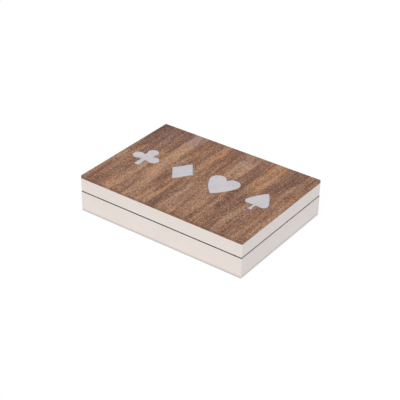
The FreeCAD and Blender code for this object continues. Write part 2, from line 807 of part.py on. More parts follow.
def spade(sketch):
    """Two long sides that run from the tip to two small lobes, and a flared stem."""
    radius = value("Sizes.spade_lobe_radius")
    offset = value("Sizes.spade_lobe_offset")
    drop = value("Sizes.spade_lobe_drop")
    side_radius = value("Sizes.spade_side_radius")
    stem_top = (value("Sizes.spade_stem_half_width"), -value("Sizes.spade_stem_top_drop"))
    tip = (0, value("Sizes.spade_tip_height"))
    centre, meets = side_arc((offset, -drop), radius, tip, side_radius)
    away = math.dist((offset, -drop), stem_top)
    leaves = angle((offset, -drop), stem_top) + math.acos(radius / away)
    lobe_end = (offset + radius * math.cos(leaves), -drop + radius * math.sin(leaves))
    flanks = []
    necks = []
    for side in (1, -1):
        flank_angles = (angle(centre, meets), angle(centre, tip))
        lobe_angles = (leaves, angle((offset, -drop), meets))
        if side < 0:
            flank_angles = (math.pi - flank_angles[1], math.pi - flank_angles[0])
            lobe_angles = (math.pi - lobe_angles[1], math.pi - lobe_angles[0])
        flank = arc(sketch, (side * centre[0], centre[1]), side_radius, *flank_angles)
        lobe = arc(sketch, (side * offset, -drop), radius, *lobe_angles)
        neck = line(sketch, (side * lobe_end[0], lobe_end[1]), (side * stem_top[0], stem_top[1]))
        join(sketch, flank, lobe, smooth=True)
        join(sketch, lobe, neck, smooth=True)
        sign = "" if side > 0 else "-"
        constrain(sketch, "Radius", flank, size="Sizes.spade_side_radius")
        constrain(sketch, "Radius", lobe, size="Sizes.spade_lobe_radius")
        pin_point(sketch, lobe, 3, f"{sign}Sizes.spade_lobe_offset", "-Sizes.spade_lobe_drop")
        pin_point(
            sketch, neck, 2, f"{sign}Sizes.spade_stem_half_width", "-Sizes.spade_stem_top_drop"
        )
        flanks.append(flank)
        necks.append(neck)
    join(sketch, *flanks)
    pin_point(sketch, flanks[0], 2, "0", "Sizes.spade_tip_height")
    stem(sketch, necks, "spade", flare="Sizes.spade_stem_radius")


def raised(name, outline, height):
    """A prism of an outline."""
    prism = doc.addObject("Part::Extrusion", name)
    prism.Base = outline
    prism.DirMode = "Custom"
    prism.Dir = V(0, 0, 1)
    prism.Solid = True
    return bind(prism, LengthFwd=height)


def suit_inlay(number, suit, draw):
    """A suit's inlay, and the pocket that it is let into."""
    outline = doc.addObject("Sketcher::SketchObject", suit + "_outline")
    draw(outline)
    place = f"Levels.club_place + {number} * Levels.suit_step"
    bind(outline, at_x=place, at_z="Levels.inlay_floor")
    inlay = raised("inlay_" + suit, outline, "Sizes.inlay_depth")
    grown = doc.addObject("Part::Offset2D", suit + "_pocket_outline")
    grown.Source = outline
    grown.Mode = "Pipe"
    grown.Join = "Arc"
    bind(grown, Value="Sizes.inlay_gap")
    pocket = raised(suit + "_pocket", grown, "Sizes.inlay_depth + Sizes.overcut")
    return inlay, pocket


inlays = []
inlay_pockets = []
for number, draw in enumerate((club, diamond, heart, spade)):
    inlay, pocket = suit_inlay(number, SUITS[number], draw)
    inlays.append(inlay)
    inlay_pockets.append(pocket)

lid_pieces = [
    lid_rails["front"],
    lid_rails["left"],
    lid_rails["right"],
    cut("lid_back_rail", lid_rails["back"], hinge_seats("lid")),
    cut("lid_top_board", top_board_blank(), inlay_pockets),
    *inlays,
    panel("lid_core_panel", "Levels.lid_wall", "Sizes.core_thickness", "Levels.core_underside"),
    block(
        "lid_lining",
        "Sizes.box_length - 2 * (Levels.lid_wall + Sizes.felt_play)",
        "Sizes.box_depth - 2 * (Levels.lid_wall + Sizes.felt_play)",
        "Sizes.lining_thickness",
        "Levels.lining_underside",
    ),
    hinge_screws("lid"),
]

for side, middle, screws in hinge_places():
    base_pieces.append(leaf(f"hinge_{side}_base_leaf", "base", middle, BASE_KNUCKLES, screws))
    base_pieces.append(pin(f"hinge_{side}_pin", middle))
    lid_pieces.append(leaf(f"hinge_{side}_lid_leaf", "lid", middle, LID_KNUCKLES, screws))


# ---- Checks and export ----------------------------------------------------------------------------

doc.recompute()

failed = [o.Name for o in doc.Objects if {"Invalid", "Error"} & set(o.State)]
if failed:
    raise RuntimeError(f"objects that did not build: {failed}")

pieces = base_pieces + lid_pieces
for piece in pieces:
    if piece.Shape.isNull() or not piece.Shape.isValid():
        raise RuntimeError(f"{piece.Label} has no valid shape")

os.makedirs("parts", exist_ok=True)
for piece in pieces:
    piece.Shape.exportStep(f"parts/{piece.Label}.step")
    shape = piece.Shape
    print(f"{piece.Label:24} solids {len(shape.Solids)}  volume {shape.Volume:10.2f}")
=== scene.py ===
# %% [markdown]
# # A playing card box with an inlaid lid
# The box is a low rectangle of off-white lacquered walls under a figured brown board. Four pale
# suits lie flush in the board, and the lid opens on two brass hinges at the back. The solids come
# from the CAD model as a fixed frame. This lesson gives each of them its finish, makes the felts,
# and lights the box on a pale floor.

# %% Load the frame
import math

import bpy
from mathutils import Matrix, Vector


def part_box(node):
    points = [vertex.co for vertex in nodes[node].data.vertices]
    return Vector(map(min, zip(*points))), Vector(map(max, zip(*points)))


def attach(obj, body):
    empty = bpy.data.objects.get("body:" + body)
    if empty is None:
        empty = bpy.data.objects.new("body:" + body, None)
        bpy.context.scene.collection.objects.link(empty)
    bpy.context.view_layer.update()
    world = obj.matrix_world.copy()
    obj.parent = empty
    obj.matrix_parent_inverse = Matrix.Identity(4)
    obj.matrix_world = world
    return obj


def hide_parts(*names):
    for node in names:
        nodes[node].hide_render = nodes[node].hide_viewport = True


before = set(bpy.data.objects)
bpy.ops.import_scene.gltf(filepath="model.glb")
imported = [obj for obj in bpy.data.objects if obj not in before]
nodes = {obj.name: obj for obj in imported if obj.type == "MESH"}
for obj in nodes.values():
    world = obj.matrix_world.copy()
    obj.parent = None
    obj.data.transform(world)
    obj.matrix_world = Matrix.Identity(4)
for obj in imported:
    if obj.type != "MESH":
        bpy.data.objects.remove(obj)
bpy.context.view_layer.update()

# %% [markdown]
# ## The sizes that the finishes follow
# The stain on the rims, the end grain and the lacquer all start and stop at edges of the box. Their
# places could be typed in, but then they would go wrong when the box changes, so they are read from
# the boxes of the solids.

# %% Read the sizes from the frame
MM = 0.001

board_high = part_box("lid_top_board")[1]
HALF_LENGTH = board_high.x
HALF_DEPTH = board_high.y
BOX_TOP = board_high.z
BASE_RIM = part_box("base_front_rail")[1].z
LID_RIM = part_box("lid_front_rail")[0].z
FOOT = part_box("base_front_rail")[0].z
SEAM = (BASE_RIM + LID_RIM) / 2
print("half length", HALF_LENGTH, "half depth", HALF_DEPTH, "seam", round(SEAM, 5))

# %% [markdown]
# ## Helpers for node trees
# A material is a tree of nodes, and clicking one together by hand is the same as adding the nodes
# and links in code. Small helpers keep each finish short. They feed sockets, do arithmetic, map one
# range onto another, mix colours, make noise, and start groups and materials. Colours are written
# as they look on screen, from 0 to 255, and turned into the linear values that Blender works in.


# %% Helpers: colours, nodes and their sockets
def linear(red, green, blue):
    """A colour as it looks on screen, as the linear RGBA that a socket takes."""
    parts = [channel / 255 for channel in (red, green, blue)]
    return (*[p / 12.92 if p <= 0.04045 else ((p + 0.055) / 1.055) ** 2.4 for p in parts], 1.0)


def feed(tree, socket, source):
    """Gives a socket its value, or links it to the output that feeds it."""
    if isinstance(source, bpy.types.NodeSocket):
        tree.links.new(source, socket)
    else:
        socket.default_value = source


def add(tree, kind, sockets=None, **settings):
    """Adds a node, sets its options and feeds its named sockets."""
    node = tree.nodes.new("ShaderNode" + kind)
    for name, setting in settings.items():
        setattr(node, name, setting)
    for name, source in (sockets or {}).items():
        feed(tree, node.inputs[name], source)
    return node


print("a screen grey of 128 is", round(linear(128, 128, 128)[0], 3), "to a shader")


# %% Helpers: arithmetic, ranges, colour mixes and noise
def maths(tree, operation, *values):
    """The output of a Math node."""
    node = add(tree, "Math", operation=operation)
    for socket, value in zip(node.inputs, values):
        feed(tree, socket, value)
    return node.outputs[0]


def ramp(tree, value, start, end, low=0.0, high=1.0, smooth=True):
    """Maps a value from start..end to low..high, easing in and out unless it is told not to."""
    kind = "SMOOTHSTEP" if smooth else "LINEAR"
    sockets = {"Value": value, "From Min": start, "From Max": end, "To Min": low, "To Max": high}
    return add(tree, "MapRange", sockets, interpolation_type=kind).outputs["Result"]


def vary(tree, value, variation, strength, middle=0.5):
    """Adds to a value how far a variation lies from its middle, times a strength."""
    off_middle = maths(tree, "SUBTRACT", variation, middle)
    return maths(tree, "MULTIPLY_ADD", off_middle, strength, value)


def mix(tree, factor, first, second, blend="MIX"):
    """The colour between two colours."""
    node = add(tree, "Mix", data_type="RGBA", blend_type=blend)
    for index, source in ((0, factor), (6, first), (7, second)):
        feed(tree, node.inputs[index], source)
    return node.outputs[2]


def noise(tree, vector, scale, stretch=(1, 1, 1), detail=3.0, roughness=0.5):
    """Noise on coordinates that are first stretched; it varies about 0.5."""
    mapping = add(tree, "Mapping", {"Vector": vector, "Scale": stretch})
    sockets = {
        "Vector": mapping.outputs["Vector"],
        "Scale": scale,
        "Detail": detail,
        "Roughness": roughness,
    }
    return add(tree, "TexNoise", sockets).outputs["Fac"]


# %% Helpers: node groups
def new_group(name, inputs, outputs):
    """An empty node group with its sockets, and the nodes that its values come in and go out by."""
    group = bpy.data.node_groups.new(name, "ShaderNodeTree")
    for way, sockets in (("INPUT", inputs), ("OUTPUT", outputs)):
        for label, kind in sockets.items():
            group.interface.new_socket(label, in_out=way, socket_type="NodeSocket" + kind)
    return group, group.nodes.new("NodeGroupInput"), group.nodes.new("NodeGroupOutput")


def place_group(tree, group, sockets):
    """Places a group in a tree and feeds its sockets."""
    node = add(tree, "Group", node_tree=group)
    for name, source in sockets.items():
        feed(tree, node.inputs[name], source)
    return node


# %% Helpers: materials
def new_material(name, **shader_values):
    """A material with a Principled shader, and its Object coordinates."""
    material = bpy.data.materials.new(name)
    material.use_nodes = True
    tree = material.node_tree
    shader = tree.nodes["Principled BSDF"]
    for socket, value in shader_values.items():
        shader.inputs[socket.replace("_", " ")].default_value = value
    return material, tree, shader, add(tree, "TexCoord").outputs["Object"]


def dress(material, *names):
    """Gives CAD nodes their finish."""
    for name in names:
        mesh = nodes[name].data
        mesh.materials.clear()
        mesh.materials.append(material)
    print(material.name, "on", ", ".join(names))


# %% [markdown]
# ## The fibres and pores of wood
# Every wooden piece shows fine fibres and short open pores along its grain, whatever its colour.
# An image could give them, but it would have one size and one direction. Noises that are drawn out
# along the grain by different amounts give long lines, small specks and short dark pores at any
# size, and a group makes them once for all the woods.

# %% Group: fibres, flecks and pores along Y
# Each layer of the grain has its rate, as a share of the flecks per metre, and its stretch.
FIBRE_RATE, FIBRE_STRETCH = 3.5, (1, 0.012, 1)
LINE_RATE, LINE_STRETCH = 1.1, (1, 0.03, 1)
SPECK_RATE, SPECK_STRETCH = 1.3, (1, 0.36, 1)
PORE_RATE, PORE_STRETCH = 3.0, (1, 0.16, 1)
LINES_IN_FLECKS = 0.3
FIBRES_IN_HEIGHT = 0.3


def make_wood_grain():
    group, inlet, outlet = new_group(
        "wood_grain",
        {"Vector": "Vector", "Flecks per metre": "Float"},
        {"Fibre": "Float", "Fleck": "Float", "Pores": "Float", "Height": "Float"},
    )
    vector = inlet.outputs["Vector"]

    def layer(rate, stretch, detail, roughness=0.5):
        scale = maths(group, "MULTIPLY", inlet.outputs["Flecks per metre"], rate)
        return noise(group, vector, scale, stretch, detail, roughness)

    fibre = layer(FIBRE_RATE, FIBRE_STRETCH, detail=3.0, roughness=0.6)
    lines = layer(LINE_RATE, LINE_STRETCH, detail=4.0, roughness=0.6)
    specks = layer(SPECK_RATE, SPECK_STRETCH, detail=3.0, roughness=0.6)
    specks = maths(group, "MULTIPLY", specks, 1 - LINES_IN_FLECKS)
    both = maths(group, "MULTIPLY_ADD", lines, LINES_IN_FLECKS, specks)
    fleck = ramp(group, both, 0.36, 0.64, smooth=False)
    pores = ramp(group, layer(PORE_RATE, PORE_STRETCH, detail=1.0), 0.55, 0.6)
    height = maths(group, "SUBTRACT", maths(group, "MULTIPLY", fibre, FIBRES_IN_HEIGHT), pores)
    rows = {"Fibre": fibre, "Fleck": fleck, "Pores": pores, "Height": height}
    for name, source in rows.items():
        feed(group, outlet.inputs[name], source)
    return group


wood_grain = make_wood_grain()
print("group", wood_grain.name, [item.name for item in wood_grain.interface.items_tree])

# %% [markdown]
# ## The figure of the top board
# The board is one wide piece of a brown hardwood whose grain runs from front to back. Its figure is
# a row of soft streaks, some darker and some paler, that fade out part of the way along. One noise
# would make streaks of one even kind, so each main streak is placed one by one, as a stain would be
# brushed on. Noise bends the streaks and the fibres with them, as a board's grain wanders round
# its knots, and later adds fine ribbons between them. A group holds what one streak does to the
# tone and to the warmth.


# %% Group: one streak of tone
def make_streak():
    group, inlet, outlet = new_group(
        "streak",
        {
            "X": "Float",
            "Y": "Float",
            "Middle": "Float",
            "Half width": "Float",
            "Front end": "Float",
            "Back end": "Float",
            "Edge": "Float",
            "Fade": "Float",
            "Darker or paler": "Float",
            "Greyer or warmer": "Float",
            "Tone": "Float",
            "Warmth": "Float",
        },
        {"Tone": "Float", "Warmth": "Float"},
    )
    value = inlet.outputs
    away = maths(group, "ABSOLUTE", maths(group, "SUBTRACT", value["X"], value["Middle"]))
    outer = maths(group, "ADD", value["Half width"], value["Edge"])
    inner = maths(group, "SUBTRACT", value["Half width"], value["Edge"])
    across = ramp(group, away, outer, inner)
    front_start = maths(group, "SUBTRACT", value["Front end"], value["Fade"])
    front_full = maths(group, "ADD", value["Front end"], value["Fade"])
    back_start = maths(group, "ADD", value["Back end"], value["Fade"])
    back_full = maths(group, "SUBTRACT", value["Back end"], value["Fade"])
    front = ramp(group, value["Y"], front_start, front_full)
    back = ramp(group, value["Y"], back_start, back_full)
    mask = maths(group, "MULTIPLY", across, maths(group, "MULTIPLY", front, back))
    for name, change in (("Tone", "Darker or paler"), ("Warmth", "Greyer or warmer")):
        changed = maths(group, "MULTIPLY_ADD", mask, value[change], value[name])
        feed(group, outlet.inputs[name], changed)
    return group


streak = make_streak()
print("group", streak.name)

# %% The streaks of the board, in millimetres from its middle
# Each is its middle, half width, front end and back end, then how much paler and warmer it is.
STREAKS = {
    "dark back left corner": (-76, 14, 2, 70, -0.19, -0.2),
    "dark left edge": (-78, 8, 16, 42, -0.13, 0.05),
    "dark left of the club": (-57, 7.5, 18, 70, -0.21, -0.10),
    "pale left back": (-43, 7, 8, 70, 0.12, -0.12),
    # Painted reflection: this grey streak paints the bluish sheen of the room seen at a grazing
    # angle.
    "painted sheen left back": (-42.5, 7, 42, 70, 0.06, -0.8),
    "dark second back": (-27, 6.5, 18, 42, -0.08, 0.5),
    "dark second far back": (-30.5, 4.5, 36, 70, -0.15, 0.1),
    "pale left middle": (-42, 8, -22, 30, 0.14, 0.10),
    "pale left front": (-57, 4.5, -70, -8, 0.18, 0.05),
    "dark front left corner": (-74, 9, -75, -44, -0.14, 0.15),
    "pale second front": (-38, 4.0, -70, -4, 0.20, 0.0),
    "dark second front": (-30, 3.5, -72, -42, -0.12, 0.1),
    "dark third front": (-22, 4.5, -44, -8, -0.15, 0.15),
    "pale third front": (-21, 4.5, -72, -44, 0.10, 0.0),
    "pale behind the diamond": (-12, 4.0, 8, 60, 0.16, 0.35),
    "dark before the diamond": (-8.5, 4.0, -70, -10, -0.24, 0.0),
    "dark centre back": (-11, 5.0, 42, 70, -0.08, 0.0),
    "warm centre back": (0, 9.0, 14, 44, 0.0, 0.45),
    "dark centre far back": (6, 8.0, 38, 70, -0.13, 0.0),
    "pale centre front": (2, 4.0, -70, -8, 0.16, -0.15),
    "pale right of centre": (18.5, 8.2, 12, 46, 0.24, 0.0),
    # Painted reflection: this grey streak paints the bluish sheen of the room seen at a grazing
    # angle.
    "painted sheen right of centre back": (20, 8.2, 42, 70, 0.06, -0.55),
    "pale under the heart": (21, 7.0, -58, -6, 0.14, 0.05),
    "dark right of the heart": (35, 6.0, 2, 70, -0.15, 0.15),
    "orange right back": (48, 7.2, 10, 70, 0.22, 0.45),
    "dark right front": (48, 8.0, -70, -4, -0.20, -0.05),
    "pale before the spade": (58.5, 2.6, -70, -36, 0.16, 0.05),
    "dark right front edge": (64, 3.0, -70, -10, -0.12, 0.0),
    "dark far right back": (71, 6.0, 16, 70, -0.15, 0.10),
    "dark back right corner": (80, 12.0, 38, 72, -0.12, -0.05),
    "pale far right": (84, 5.0, -60, 14, 0.05, 0.10),
}
print("streaks", len(STREAKS))

# %% Bend the grain, and lay the streaks along it
WANDER = 7.0 * MM
RIPPLE = 2.4 * MM
BEND_ALONG_GRAIN = 3.0
STREAK_EDGE = 1.6 * MM
STREAK_FADE = 7.0 * MM
PLAIN_TONE = 0.57
PLAIN_WARMTH = 0.5


def bend_grain(tree, here, split):
    """The place across and along the board, bent widely by a wander and slightly by a ripple."""
    wander = noise(tree, here, 30.0, (1, 0.55, 1), detail=2.0)
    ripple = noise(tree, here, 120.0, (1, 0.5, 1), detail=2.0)
    bend = vary(tree, maths(tree, "MULTIPLY_ADD", wander, WANDER, -WANDER / 2), ripple, RIPPLE)
    x = maths(tree, "ADD", split["X"], bend)
    y = maths(tree, "ADD", split["Y"], maths(tree, "MULTIPLY", bend, BEND_ALONG_GRAIN))
    return x, y


def lay_streaks(tree, x, y):
    """The tone and the warmth of the board, after each streak has changed them in turn."""
    tone, warmth = PLAIN_TONE, PLAIN_WARMTH
    for middle, half_width, front, back, paler, warmer in STREAKS.values():
        sockets = {
            "X": x,
            "Y": y,
            "Middle": middle * MM,
            "Half width": half_width * MM,
            "Front end": front * MM,
            "Back end": back * MM,
            "Edge": STREAK_EDGE,
            "Fade": STREAK_FADE,
            "Darker or paler": paler,
            "Greyer or warmer": warmer,
            "Tone": tone,
            "Warmth": warmth,
        }
        placed = place_group(tree, streak, sockets)
        tone, warmth = placed.outputs["Tone"], placed.outputs["Warmth"]
    return tone, warmth


print("grain bends by up to", round((WANDER + RIPPLE) / 2 / MM, 1), "mm each way")

# %% [markdown]
# ## The colour of the top board
# The tone picks a brown from a ramp, from the darkest vein to the palest. The warmth then tints it
# towards orange or towards grey, because one hardwood holds both, and the strongest grey, at the
# back of the board, is a painted reflection of the bright room at a grazing angle. The ends of the
# board show darker end grain, and the walls of the pockets under the suits are dark with glue.

# %% Colour from tone and warmth
BOARD_TONES = {
    0.0: (76, 43, 28),
    0.3: (120, 78, 56),
    0.5: (149, 105, 78),
    0.72: (174, 130, 98),
    1.0: (203, 160, 124),
}
UNTINTED = (1, 1, 1, 1)
WARM_TINT = (1.08, 0.97, 0.84, 1)
# The cool tint greys the wood, and at the back of the board it also paints a reflected sheen.
COOL_TINT_AND_SHEEN = (0.95, 1.05, 1.42, 1)


def board_colour(tree, tone, warmth):
    """The brown of a tone, tinted by the warmth."""
    wood = add(tree, "ValToRGB", {"Fac": tone})
    stops = wood.color_ramp.elements
    darkest, *between, palest = BOARD_TONES
    stops[0].position, stops[1].position = darkest, palest
    for position in between:
        stops.new(position)
    for stop, colour in zip(stops, BOARD_TONES.values()):
        stop.color = linear(*colour)
    warm = mix(tree, ramp(tree, warmth, PLAIN_WARMTH, 1.1), UNTINTED, WARM_TINT)
    cool = mix(tree, ramp(tree, warmth, PLAIN_WARMTH, -0.1), UNTINTED, COOL_TINT_AND_SHEEN)
    warmed = mix(tree, 1.0, wood.outputs["Color"], warm, "MULTIPLY")
    return mix(tree, 1.0, warmed, cool, "MULTIPLY")


def inside_outline(tree, split, margin):
    """1 where a place is further inside the outer faces than a margin, and otherwise 0."""
    across, along = [
        maths(tree, "LESS_THAN", maths(tree, "ABSOLUTE", split[axis]), half - margin)
        for axis, half in (("X", HALF_LENGTH), ("Y", HALF_DEPTH))
    ]
    return maths(tree, "MULTIPLY", across, along)


print("browns", len(BOARD_TONES))

# %% Material: the figured top board
FLECKS_PER_METRE = 1000.0
RIBBON_STRENGTH = 1.2
PATCH_STRENGTH = 1.4
FIBRE_STRENGTH = 0.6
FLECK_STRENGTH = 1.0
FLECK_LOSS_IN_END_GRAIN = 0.67
PORE_STRENGTH = 0.65
END_GRAIN_STRENGTH = 0.35
END_GRAIN_DEPTH = 0.35 * MM
# Inside this distance from the edges, what lies below the top face is a pocket's glued wall.
POCKETS_FROM_EDGE = 8 * MM
GLUE_BELOW_TOP = 0.03 * MM


def board_finish():
    material, tree, shader, here = new_material("figured_top_board", Specular_IOR_Level=0.35)
    split = add(tree, "SeparateXYZ", {"Vector": here}).outputs
    x, y = bend_grain(tree, here, split)
    bent = add(tree, "CombineXYZ", {"X": x, "Y": y, "Z": split["Z"]}).outputs["Vector"]
    grain_sockets = {"Vector": bent, "Flecks per metre": FLECKS_PER_METRE}
    grain = place_group(tree, wood_grain, grain_sockets).outputs

    tone, warmth = lay_streaks(tree, x, y)
    patches = noise(tree, here, 75.0, (1, 0.5, 1), detail=2.0)
    warmth = vary(tree, warmth, patches, PATCH_STRENGTH, middle=0.45)
    ribbon = noise(tree, bent, 170.0, (1, 0.12, 1), detail=3.0)
    tone = vary(tree, tone, ribbon, RIBBON_STRENGTH)
    tone = vary(tree, tone, grain["Fibre"], FIBRE_STRENGTH)
    from_middle = maths(tree, "ABSOLUTE", split["Y"])
    end_grain = ramp(tree, from_middle, HALF_DEPTH - END_GRAIN_DEPTH, HALF_DEPTH)
    fleck_strength = maths(
        tree, "MULTIPLY_ADD", end_grain, -FLECK_LOSS_IN_END_GRAIN, FLECK_STRENGTH
    )
    tone = vary(tree, tone, grain["Fleck"], fleck_strength)

    wood = board_colour(tree, tone, warmth)
    pore_share = maths(tree, "MULTIPLY", grain["Pores"], PORE_STRENGTH)
    pored = mix(tree, pore_share, wood, linear(78, 52, 40))
    end_share = maths(tree, "MULTIPLY", end_grain, END_GRAIN_STRENGTH)
    ends = mix(tree, end_share, pored, linear(104, 76, 62))
    below_top = maths(tree, "LESS_THAN", split["Z"], BOX_TOP - GLUE_BELOW_TOP)
    glue = maths(tree, "MULTIPLY", below_top, inside_outline(tree, split, POCKETS_FROM_EDGE))
    feed(tree, shader.inputs["Base Color"], mix(tree, glue, ends, linear(32, 25, 21)))
    gloss = noise(tree, here, 220.0, (1, 0.2, 1), detail=2.0)
    roughness = ramp(tree, gloss, 0.3, 0.7, 0.42, 0.56, smooth=False)
    feed(tree, shader.inputs["Roughness"], roughness)
    bump = add(tree, "Bump", {"Height": grain["Height"], "Distance": 0.06 * MM})
    feed(tree, shader.inputs["Normal"], bump.outputs["Normal"])
    return material


dress(board_finish(), "lid_top_board")

# %% [markdown]
# ## The lacquered walls
# The walls are sprayed with an off-white satin lacquer that hides their wood and their mitres. The
# rims where the lid meets the base, and all that is inside, are stained black, so the closed box
# shows one fine dark line all round. Two materials would need the faces split, so one material
# chooses by place: lacquer on the outer faces, and stain on the rims and within. The foot of the
# walls is a little darker, as painted shade where the box meets the table.

# %% Group: the faint unevenness of a handled surface
FINE_SHARE = 0.3
HANDLED_TINT = (0.985, 0.98, 0.972, 1)


def make_handling():
    group, inlet, outlet = new_group(
        "handling",
        {"Vector": "Vector", "Smoothest": "Float", "Roughest": "Float"},
        {"Roughness": "Float", "Tint": "Color"},
    )
    vector = inlet.outputs["Vector"]
    smears = noise(group, vector, 55.0, detail=4.0, roughness=0.6)
    fine = noise(group, vector, 700.0, detail=2.0)
    smears_share = maths(group, "MULTIPLY", smears, 1 - FINE_SHARE)
    both = maths(group, "MULTIPLY_ADD", fine, FINE_SHARE, smears_share)
    smoothest, roughest = inlet.outputs["Smoothest"], inlet.outputs["Roughest"]
    roughness = ramp(group, both, 0.35, 0.65, smoothest, roughest, smooth=False)
    tint = mix(group, ramp(group, smears, 0.35, 0.7), UNTINTED, HANDLED_TINT)
    feed(group, outlet.inputs["Roughness"], roughness)
    feed(group, outlet.inputs["Tint"], tint)
    return group


handling = make_handling()
print("group", handling.name)

# %% Material: white lacquer outside, black stain on the rims and inside
LACQUER = linear(234, 224, 218)
LACQUER_DEPTH = 0.6 * MM
BLACK_STAIN = linear(22, 20, 19)
STAIN_OVER_RIM = 0.42 * MM
STAIN_RAGGED = 0.1 * MM
# Painted shade: this tint and this height darken the lowest part of the walls towards the table.
FOOT_SHADE_TINT = (0.84, 0.83, 0.82, 1)
FOOT_SHADE_HEIGHT = 2.4 * MM


def wall_finish():
    material, tree, shader, here = new_material("lacquered_walls", Specular_IOR_Level=0.4)
    split = add(tree, "SeparateXYZ", {"Vector": here}).outputs
    from_seam = maths(tree, "ABSOLUTE", maths(tree, "SUBTRACT", split["Z"], SEAM))
    ragged = vary(tree, from_seam, noise(tree, here, 800.0, detail=2.0), STAIN_RAGGED)
    stain_edge = (LID_RIM - BASE_RIM) / 2 + STAIN_OVER_RIM
    rim = maths(tree, "LESS_THAN", ragged, stain_edge)
    stained = maths(tree, "MAXIMUM", rim, inside_outline(tree, split, LACQUER_DEPTH))
    skin = place_group(tree, handling, {"Vector": here, "Smoothest": 0.32, "Roughest": 0.44})
    unshaded_lacquer = mix(tree, 1.0, LACQUER, skin.outputs["Tint"], "MULTIPLY")
    # Painted shade: the walls darken over their lowest 2.4 mm towards the foot, where the box meets
    # the table.
    foot_shade = ramp(tree, split["Z"], FOOT + FOOT_SHADE_HEIGHT, FOOT)
    lacquer = mix(tree, foot_shade, unshaded_lacquer, FOOT_SHADE_TINT, "MULTIPLY")
    colour = mix(tree, stained, lacquer, BLACK_STAIN)
    feed(tree, shader.inputs["Base Color"], colour)
    feed(tree, shader.inputs["Roughness"], skin.outputs["Roughness"])
    peel = noise(tree, here, 900.0, detail=1.0)
    bump = add(tree, "Bump", {"Height": peel, "Distance": 0.01 * MM})
    feed(tree, shader.inputs["Normal"], bump.outputs["Normal"])
    return material


SIDES = ("front", "right", "back", "left")
RAILS = [f"{part}_{side}_rail" for part in ("base", "lid") for side in SIDES]
dress(wall_finish(), *RAILS)

# %% [markdown]
# ## The inlaid suits
# The suits are thin slips of shell, ground flush with the board. Shell is a cool pale grey with
# faint clouds of lilac and green and fine lines of growth, and it is glossier than the wood around
# it. A thin film setting would tint the gloss only, so the clouds are painted into the colour with
# slow noises.


# %% Material: shell
def shell_finish():
    material, tree, shader, here = new_material(
        "shell_inlay", Coat_Weight=0.35, Coat_Roughness=0.12, Specular_IOR_Level=0.5
    )
    clouds = noise(tree, here, 120.0, detail=3.0, roughness=0.55)
    growth = noise(tree, here, 420.0, (1, 0.25, 1), detail=2.0)
    sheen = noise(tree, here, 90.0, (1, 0.6, 1), detail=1.0)
    lilac = mix(tree, ramp(tree, clouds, 0.37, 0.63), linear(209, 203, 204), linear(201, 194, 206))
    green = mix(tree, ramp(tree, sheen, 0.46, 0.68, 0.0, 0.5), lilac, linear(198, 202, 200))
    grown = mix(tree, ramp(tree, growth, 0.5, 0.74, 0.0, 0.6), green, linear(189, 187, 189))
    feed(tree, shader.inputs["Base Color"], grown)
    roughness = ramp(tree, growth, 0.3, 0.7, 0.26, 0.36, smooth=False)
    feed(tree, shader.inputs["Roughness"], roughness)
    bump = add(tree, "Bump", {"Height": growth, "Distance": 0.008 * MM})
    feed(tree, shader.inputs["Normal"], bump.outputs["Normal"])
    return material


SUITS = ["inlay_club", "inlay_diamond", "inlay_heart", "inlay_spade"]
dress(shell_finish(), *SUITS)

# %% [markdown]
# ## The dark fittings inside
# The liner that stands above the rim, and the divider between the decks, are stained black and
# rubbed down until the grain just shows. The two hidden panels are plain pale wood. Both finishes
# take the grain from the group that the top board uses.

# %% Materials: black stained wood and plain wood
ROUGHNESS_SPREAD = 0.08


def stained_wood(name, body, pore, roughness, pore_share):
    """Plain wood of one colour, with its pores in another."""
    material, tree, shader, here = new_material(name)
    grain_sockets = {"Vector": here, "Flecks per metre": FLECKS_PER_METRE}
    grain = place_group(tree, wood_grain, grain_sockets).outputs
    shade = ramp(tree, grain["Fibre"], 0.3, 0.7, 0.8, 1.2, smooth=False)
    plain = mix(tree, 1.0, body, shade, "MULTIPLY")
    share = maths(tree, "MULTIPLY", grain["Pores"], pore_share)
    feed(tree, shader.inputs["Base Color"], mix(tree, share, plain, pore))
    skin_sockets = {
        "Vector": here,
        "Smoothest": roughness - ROUGHNESS_SPREAD,
        "Roughest": roughness + ROUGHNESS_SPREAD,
    }
    skin = place_group(tree, handling, skin_sockets)
    feed(tree, shader.inputs["Roughness"], skin.outputs["Roughness"])
    bump = add(tree, "Bump", {"Height": grain["Height"], "Distance": 0.05 * MM})
    feed(tree, shader.inputs["Normal"], bump.outputs["Normal"])
    return material


LINERS = [f"liner_{side}" for side in SIDES]
black_wood = stained_wood(
    "black_stained_wood",
    body=linear(34, 31, 29),
    pore=linear(14, 12, 11),
    roughness=0.42,
    pore_share=0.8,
)
dress(black_wood, "card_divider", *LINERS)
plain_wood = stained_wood(
    "plain_panel",
    body=linear(196, 164, 124),
    pore=linear(150, 116, 80),
    roughness=0.6,
    pore_share=0.5,
)
dress(plain_wood, "floor_panel", "lid_core_panel")

# %% [markdown]
# ## The brass hinges
# The butt hinges, their pins and their screws are polished brass that has dulled a little where
# it is handled. Metal takes its colour from its reflections, so the shader is metallic and the
# roughness carries the wear.


# %% Material: brass
def brass_finish():
    material, tree, shader, here = new_material("hinge_brass", Metallic=1.0)
    skin = place_group(tree, handling, {"Vector": here, "Smoothest": 0.18, "Roughest": 0.36})
    brushed = noise(tree, here, 5200.0, (0.05, 1, 1), detail=2.0)
    fresh = linear(222, 196, 146)
    dull = linear(184, 154, 106)
    feed(tree, shader.inputs["Base Color"], mix(tree, ramp(tree, brushed, 0.35, 0.9), fresh, dull))
    feed(tree, shader.inputs["Roughness"], skin.outputs["Roughness"])
    bump = add(tree, "Bump", {"Height": brushed, "Distance": 0.006 * MM})
    feed(tree, shader.inputs["Normal"], bump.outputs["Normal"])
    return material


HINGES = [
    f"hinge_{side}_{piece}"
    for side in ("left", "right")
    for piece in ("base_leaf", "lid_leaf", "pin")
]
dress(brass_finish(), "hinge_base_screws", "hinge_lid_screws", *HINGES)

